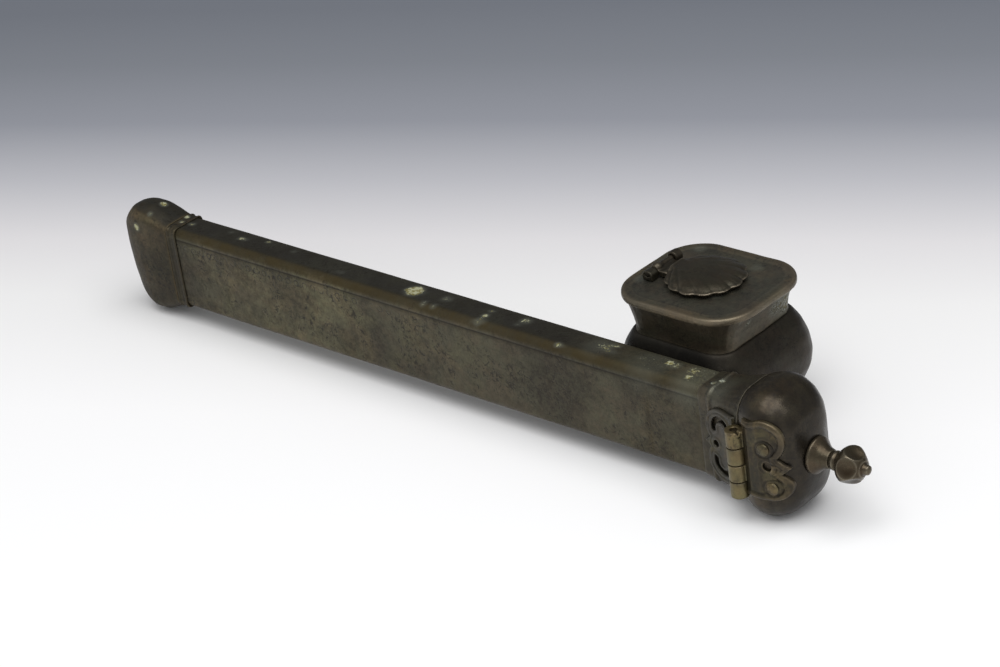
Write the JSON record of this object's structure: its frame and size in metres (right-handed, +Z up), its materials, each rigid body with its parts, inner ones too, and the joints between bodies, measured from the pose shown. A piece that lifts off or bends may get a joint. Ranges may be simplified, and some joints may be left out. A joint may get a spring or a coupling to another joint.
{
  "type": "pen case",
  "caption": "Flat brass pen case with a flared foot, a hinged domed cap with a finial, and an attached inkwell with a hinged scallop shell lid.",
  "frame": {"origin": "middle of the underside of the inkwell's base, on the surface that the case rests on", "axes": "+X along the case towards the cap and finial, +Y from the case to the inkwell's side, +Z up"},
  "size_m": [0.2922, 0.0683, 0.0485],
  "materials": {
    "dark_brass": "dark olive-brown patina, worn smooth",
    "worn_brass": "handled brass with brown patina in the hollows"
  },
  "bodies": {
    "case": {"barrel": "dark_brass", "foot_bulb": "dark_brass", "foot_moulding": "dark_brass", "mouth_collar": "dark_brass", "mouth_lip": "dark_brass", "barrel_hinge_leaf": "worn_brass", "cap_hinge_pin": "worn_brass", "inkwell_base": "dark_brass", "inkwell_body": "dark_brass", "inkwell_neck": "dark_brass", "inkwell_top_plate": "dark_brass", "inkwell_saddle": "dark_brass", "lid_hinge_ears": "dark_brass", "lid_hinge_pin": "worn_brass"},
    "cap": {"cap": "dark_brass", "cap_hinge_leaf": "worn_brass", "cap_leaf_rivets": "worn_brass", "finial_socket": "dark_brass", "finial_knob": "dark_brass"},
    "ink_lid": {"ink_lid": "dark_brass"}
  },
  "joints": [
    {"name": "cap_swing", "type": "hinge", "parent": "case", "child": "cap", "pos_m": [0.0399, -0.0428, 0.0187], "axis": [0, 0, -1], "range_deg": [0, 170]},
    {"name": "ink_lid_swing", "type": "hinge", "parent": "case", "child": "ink_lid", "pos_m": [-0.0156, -0.001, 0.0467], "axis": [0, -1, 0], "range_deg": [0, 105]}
  ]
}
